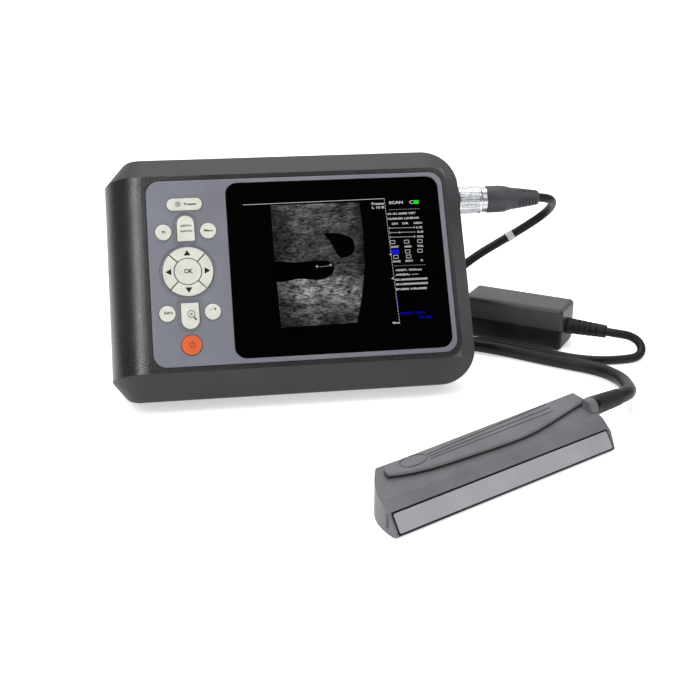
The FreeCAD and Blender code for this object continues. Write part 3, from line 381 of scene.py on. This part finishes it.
class Print:
    """Thin closed marks in the plane of the face, gathered in millimetres of the case's own frame."""

    def __init__(self, depth):
        self.depth = depth
        self.points, self.faces = [], []

    def fill(self, outline):
        """A filled outline of (x, z) points, given either way round."""
        area = sum(a[0] * b[1] - b[0] * a[1] for a, b in zip(outline, outline[1:] + outline[:1]))
        ring = outline if area > 0 else outline[::-1]
        start, count = len(self.points), len(ring)
        self.points += [(x, self.depth - INK, z) for x, z in ring]
        self.points += [(x, self.depth + INK, z) for x, z in ring]
        self.faces.append([start + i for i in range(count)])
        self.faces.append([start + count + i for i in reversed(range(count))])
        for i in range(count):
            j = (i + 1) % count
            self.faces.append([start + j, start + i, start + count + i, start + count + j])

    def bar(self, x0, x1, z0, z1):
        """A filled rectangle."""
        self.fill([(x0, z0), (x1, z0), (x1, z1), (x0, z1)])

    def line(self, x0, z0, x1, z1, width):
        """A straight stroke between two points."""
        length = math.hypot(x1 - x0, z1 - z0)
        dx, dz = (z0 - z1) / length * width / 2, (x1 - x0) / length * width / 2
        self.fill([(x0 + dx, z0 + dz), (x0 - dx, z0 - dz), (x1 - dx, z1 - dz), (x1 + dx, z1 + dz)])

    def arc(self, x, z, radius, width, first=0, last=360, steps=28):
        """A round stroke between two angles, in degrees anticlockwise from +x."""
        spots = [math.radians(first + (last - first) * i / steps) for i in range(steps + 1)]
        for a, b in zip(spots, spots[1:]):
            inner, outer = radius - width / 2, radius + width / 2
            self.fill([(x + r * math.cos(t), z + r * math.sin(t)) for r, t in
                       ((inner, a), (outer, a), (outer, b), (inner, b))])

    def write(self, text, x, z, width, height):
        """Plain lettering centred on (x, z) and fitted to a width and a height."""
        font = bpy.data.curves.new("lettering", "FONT")
        font.body = text
        font.resolution_u = 3
        font.offset = LETTER_WEIGHT
        font.extrude = LETTER_DEPTH
        holder = bpy.data.objects.new("lettering", font)
        bpy.context.scene.collection.objects.link(holder)
        bpy.context.view_layer.update()
        mesh = bpy.data.meshes.new_from_object(holder.evaluated_get(bpy.context.evaluated_depsgraph_get()))
        low = [min(v.co[i] for v in mesh.vertices) for i in range(2)]
        high = [max(v.co[i] for v in mesh.vertices) for i in range(2)]
        start = len(self.points)
        for v in mesh.vertices:
            across = x + ((v.co.x - low[0]) / (high[0] - low[0]) - 0.5) * width
            along = z + ((v.co.y - low[1]) / (high[1] - low[1]) - 0.5) * height
            self.points.append((across, self.depth - math.copysign(INK, v.co.z), along))
        self.faces += [[start + i for i in polygon.vertices] for polygon in mesh.polygons]
        bpy.data.objects.remove(holder)
        bpy.data.meshes.remove(mesh)

    def make(self, name, material, body):
        """One object of all the marks so far, carried by a body."""
        mesh = bpy.data.meshes.new(name)
        mesh.from_pydata([tuple(c * MM for c in point) for point in self.points], [], self.faces)
        sheet = bmesh.new()
        sheet.from_mesh(mesh)
        bmesh.ops.remove_doubles(sheet, verts=sheet.verts, dist=1e-7)
        sheet.to_mesh(mesh)
        sheet.free()
        mesh.materials.append(material)
        made = bpy.data.objects.new(name, mesh)
        made.matrix_world = CASE
        bpy.context.scene.collection.objects.link(made)
        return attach(made, body)


KEY_X = -95.3                                # middle of the key column


def legend(key, draw, ink="ink_black"):
    """Prints what draw puts on a mark onto the top of a key."""
    mark = Print(KEY_FRONT)
    draw(mark)
    mark.make("legend_" + key, FINISHES[ink], key)


def pad_arrow(turn):
    """A triangle on the direction pad that points outwards."""
    def draw(mark):
        a = math.radians(turn)
        mark.fill([(KEY_X + r * math.cos(a) - s * math.sin(a), r * math.sin(a) + s * math.cos(a))
                   for r, s in ((13.9, 0), (10.3, -2.1), (10.3, 2.1))])
    return draw


def freeze_legend(mark):
    x, z = KEY_X - 4.1, 44.0
    mark.arc(x, z, 1.55, 0.32)
    for turn in (0, 60, 120):
        dx, dz = 1.0 * math.cos(math.radians(turn + 90)), 1.0 * math.sin(math.radians(turn + 90))
        mark.line(x - dx, z - dz, x + dx, z + dz, 0.28)
    mark.write("Freeze", KEY_X + 3.6, 44.0, 7.4, 1.7)


def depth_legend(mark):
    mark.write("DEPTH", KEY_X + 0.2, 29.7, 6.6, 1.3)
    mark.write("GAIN/TGC", KEY_X + 0.4, 26.2, 7.6, 1.3)


def zoom_legend(mark):
    x, z = KEY_X + 0.6, -27.4
    mark.arc(x, z, 2.2, 0.4)
    mark.line(x + 1.5, z - 1.7, x + 2.0, z - 2.4, 0.5)
    mark.line(x + 1.9, z - 2.3, x + 3.0, z - 3.9, 0.95)
    mark.line(x - 0.8, z - 0.7, x + 0.8, z + 0.7, 0.35)
    mark.line(x - 0.8, z + 0.7, x + 0.8, z - 0.7, 0.35)


def star_legend(mark):
    x, z = KEY_X + 14.4, -24.9
    mark.bar(x - 1.9, x - 1.2, z - 0.5, z - 0.1)
    mark.bar(x - 0.6, x - 0.2, z + 0.3, z + 0.7)
    for turn in (0, 60, 120):
        dx, dz = 0.75 * math.cos(math.radians(turn)), 0.75 * math.sin(math.radians(turn))
        mark.line(x + 1.1 - dx, z - dz, x + 1.1 + dx, z + dz, 0.32)


def power_legend(mark):
    mark.arc(KEY_X + 0.3, -46.9, 1.65, 0.42, 120, 420)
    mark.line(KEY_X + 0.3, -46.7, KEY_X + 0.3, -44.6, 0.42)


legend("key_freeze", freeze_legend)
legend("key_depth", depth_legend)
legend("key_mode", lambda mark: mark.write("PL", KEY_X - 13.4, 26.1, 2.7, 1.7))
legend("key_menu", lambda mark: mark.write("Menu", KEY_X + 14.3, 26.1, 5.6, 1.6))
legend("key_info", lambda mark: mark.write("INFO", KEY_X - 13.3, -26.1, 5.2, 1.6))
legend("key_ok", lambda mark: mark.write("OK", KEY_X + 0.3, 0.2, 5.4, 3.0))
legend("key_zoom", zoom_legend)
legend("key_star", star_legend)
legend("key_power", power_legend, "ink_power")
for key, turn in (("key_right", 0), ("key_up", 90), ("key_left", 180), ("key_down", 270)):
    legend(key, pad_arrow(turn))


def glassy(shader):
    """The black, faintly glossy surface that every part of the lit screen has."""
    shader.inputs["Base Color"].default_value = (0, 0, 0, 1)
    shader.inputs["Roughness"].default_value = 0.1
    shader.inputs["Specular IOR Level"].default_value = 0.04


def glow(name, colour, strength=1.0):
    """A lit part of the screen under its cover glass."""
    material, _, shader, _ = new_material(name)
    glassy(shader)
    shader.inputs["Emission Color"].default_value = srgb(colour)
    shader.inputs["Emission Strength"].default_value = strength
    return material


def tissue_material():
    """Speckled grey echo picture: grains drawn out sideways over bands that follow the depth."""
    material, tree, shader, coord = new_material("tissue_picture")
    split = add(tree, "ShaderNodeSeparateXYZ", Vector=coord)
    squeezed = add(tree, "ShaderNodeMapping", Vector=coord)
    squeezed.inputs["Scale"].default_value = (0.42, 1, 1)
    grains = noise(tree, squeezed.outputs["Vector"], 0.0011, 3, 0.65)
    wisps = noise(tree, squeezed.outputs["Vector"], 0.0055, 3, 0.6)
    drift = math_node(tree, "SUBTRACT", noise(tree, coord, 0.012, 2), 0.5)
    wander = math_node(tree, "MULTIPLY", drift, 0.012)
    level = fit(tree, math_node(tree, "ADD", split.outputs["Z"], wander), 0, 1, -0.040, 0.042)
    bands = ramp(tree, level, [(p, (v, v, v, 1)) for p, v in (
        (0.0, 0.02), (0.1, 0.05), (0.2, 0.1), (0.28, 0.15), (0.36, 0.17), (0.42, 0.05), (0.52, 0.03),
        (0.6, 0.045), (0.74, 0.035), (0.84, 0.065), (0.93, 0.05), (1.0, 0.08))])
    texture = math_node(tree, "MULTIPLY", fit(tree, grains, 0.05, 2.3, 0.32, 0.7),
                        fit(tree, wisps, 0.25, 1.75, 0.32, 0.68))
    left = fit(tree, split.outputs["X"], 0.35, 1.0, -0.041, -0.026, True)
    right = fit(tree, split.outputs["X"], 1.0, 0.3, 0.008, 0.0165, True)
    strength = math_node(tree, "MULTIPLY", texture, math_node(tree, "MULTIPLY", left, right))
    glassy(shader)
    tree.links.new(bands, shader.inputs["Emission Color"])
    tree.links.new(strength, shader.inputs["Emission Strength"])
    return material


def smooth_outline(corners, steps=6):
    """A closed outline that runs smoothly through its corners."""
    out = []
    count = len(corners)
    for i in range(count):
        p0, p1, p2, p3 = (corners[(i + k) % count] for k in (-1, 0, 1, 2))
        for step in range(steps):
            t = step / steps
            out.append(tuple(0.5 * (2 * b + (c - a) * t + (2 * a - 5 * b + 4 * c - d) * t * t
                                    + (3 * b - a - 3 * c + d) * t ** 3)
                             for a, b, c, d in zip(p0, p1, p2, p3)))
    return out


def make_picture():
    """The screen picture, layer over layer: echo tissue, its dark hollows, then text, scales and icons."""
    tissue = Print(PICTURE_DEPTH)
    tissue.fill([(-40.8, 41.3), (16.5, 41.3), (17.4, 22), (16.6, -2), (13, -22), (8.6, -38.2), (-39.6, -38.8),
                 (-40.8, 12)])
    tissue.make("picture_tissue", tissue_material(), ROOT)
    dark = Print(PICTURE_DEPTH - LAYER)
    dark.fill(smooth_outline([(-8.2, 21.2), (-3.4, 21.4), (3.0, 20.4), (9.6, 17.2), (11.2, 11.7), (9.4, 7.0),
                              (5.4, 5.0), (0.6, 5.6), (-2.2, 10.6), (-5.0, 16.6)]))
    dark.fill(smooth_outline([(-40.8, 3.4), (-28, 2.9), (-15, 3.4), (-5.6, 2.6), (-3.2, -1.6), (-5.6, -6.6),
                              (-13.5, -9.2), (-26, -8.0), (-40.8, -9.0)]))
    dark.make("picture_dark", glow("picture_black", "000000", 0), ROOT)
    white = Print(PICTURE_DEPTH - 2 * LAYER)
    white.line(-58.3, 42.3, 33.1, 43.0, 0.3)
    for i in range(44):
        z = 42.6 - 1.9 * i
        white.line(33.1 + 0.032 * (43 - z), z, 33.13 + 0.032 * (43 - z), z - 1.2, 0.26)
    for z in (5.4, -10.5):
        white.fill([(33.0, z), (34.4, z - 0.7), (34.4, z + 0.7)])
    for x, z in ((-14.1, -0.4), (-5.4, 0.2)):
        white.line(x - 0.9, z, x + 0.9, z, 0.32)
        white.line(x, z - 0.9, x, z + 0.9, 0.32)
    for i in range(5):
        white.bar(-12.4 + 1.25 * i, -11.8 + 1.25 * i, -0.9 + 0.1 * i, -0.6 + 0.1 * i)
    white.write("SCAN", 40.5, 40.1, 9.2, 1.9)
    white.write("Freeze", 28.6, 39.8, 8.0, 1.6)
    white.write("L 10 B", 28.6, 37.2, 8.0, 1.6)
    for text, x, z, width in (
            ("01-01-2000 VET", 43.6, 32.5, 18.5), ("12:00:00 LINEAR", 44.6, 29.2, 21),
            ("GN", 38.5, 25.8, 4.0), ("DR", 45.6, 25.8, 4.0), ("HIGH", 53.7, 25.7, 5.4),
            ("1/2", 54.5, 22.7, 4.0), ("0.8", 54.7, 19.7, 4.0), ("SCAL", 54.6, 16.6, 4.4),
            ("DIST", 37.4, 10.3, 5.0), ("AREA", 45.8, 10.2, 5.0), ("VOL", 54.0, 10.2, 4.4),
            ("SAVE", 37.5, 0.6, 5.0), ("BODY", 45.9, 0.6, 5.0), ("X", 54.0, 0.6, 1.8),
            ("+DIST: 18.5mm", 44.7, -5.3, 17.4), ("AREA: ----", 43.4, -8.3, 15.2),
            ("ID:0000000000", 46.1, -11.6, 21), ("SN:0000000000", 46.0, -14.6, 21),
            ("IP:000 HR:000", 45.5, -17.9, 20), ("98mm", 33.4, -39.6, 4.4)):
        white.write(text, x, z, width, 1.35)
    for z, mark_x in ((22.9, 51.0), (19.9, 41.0), (16.8, 50.5)):
        white.line(34.9, z, 51.6, z - 0.2, 0.22)
        white.bar(mark_x, mark_x + 0.35, z - 0.8, z + 0.6)
        white.bar(34.6, 34.9, z - 0.8, z + 0.8)
    for z in (35.2, -2.5):
        for i in range(18):
            white.bar(35.6 + 1.15 * i, 36.1 + 1.15 * i, z, z + 0.22)
    for x, z in ((36.0, 13.5), (45.2, 13.4), (53.9, 13.4), (45.3, 6.9), (53.4, 7.0), (37.3, 3.6),
                 (45.6, 3.5)):
        for dx0, dz0, dx1, dz1 in ((-1.5, -1, 1.5, -1), (1.5, -1, 1.5, 1), (1.5, 1, -1.5, 1),
                                   (-1.5, 1, -1.5, -1)):
            white.line(x + dx0, z + dz0, x + dx1, z + dz1, 0.3)
    for x0, x1, z0, z1 in ((49.4, 49.9, 39.5, 40.3), (50.0, 50.3, 38.9, 40.9), (50.0, 52.4, 40.7, 41.0),
                           (50.0, 52.4, 38.8, 39.1)):
        white.bar(x0, x1, z0, z1)
    white.make("picture_text", glow("picture_white", "c4c4c4"), ROOT)
    green = Print(PICTURE_DEPTH - 2 * LAYER)
    green.bar(52.4, 55.7, 38.7, 41.1)
    green.make("picture_battery", glow("picture_green", "18e11e"), ROOT)
    blue = Print(PICTURE_DEPTH - 2 * LAYER)
    blue.bar(34.9, 39.7, 5.6, 8.4)
    blue.make("picture_choice", glow("picture_blue", "1414e6"), ROOT)
    dim = Print(PICTURE_DEPTH - 2 * LAYER)
    dim.write("PATIENT DATA", 44.8, -33.8, 16.2, 1.5)
    dim.write("F1 OK", 53.2, -36.9, 8.6, 1.8)
    for i in range(5):
        dim.bar(35.9, 36.3, -22.0 - 1.9 * i, -21.2 - 1.9 * i)
    dim.make("picture_hint", glow("picture_dim_blue", "0606a8"), ROOT)


make_picture()


# ---- floor --------------------------------------------------------------------------------------
def make_floor():
    """The white paper that the object stands on, turned up into a wall behind it."""
    mesh = bpy.data.meshes.new("floor")
    half, back, tall = 6.0, 3.0, 4.0
    corners = [(-half, -half, 0), (half, -half, 0), (half, back, 0), (-half, back, 0), (half, back, tall),
               (-half, back, tall)]
    mesh.from_pydata(corners, [], [(0, 1, 2, 3), (3, 2, 4, 5)])
    floor = bpy.data.objects.new("floor", mesh)
    bpy.context.scene.collection.objects.link(floor)
    material, tree, shader, coord = new_material("floor_paper")
    shade = ramp(tree, noise(tree, coord, 0.5, 2), [(0.3, srgb("f0f0f0")), (0.7, srgb("f6f6f6"))])
    tree.links.new(shade, shader.inputs["Base Color"])
    shader.inputs["Roughness"].default_value = 0.9
    shader.inputs["Specular IOR Level"].default_value = 0.1
    shader.inputs["Emission Color"].default_value = (1, 1, 1, 1)
    shader.inputs["Emission Strength"].default_value = 0.55
    mesh.materials.append(material)


make_floor()
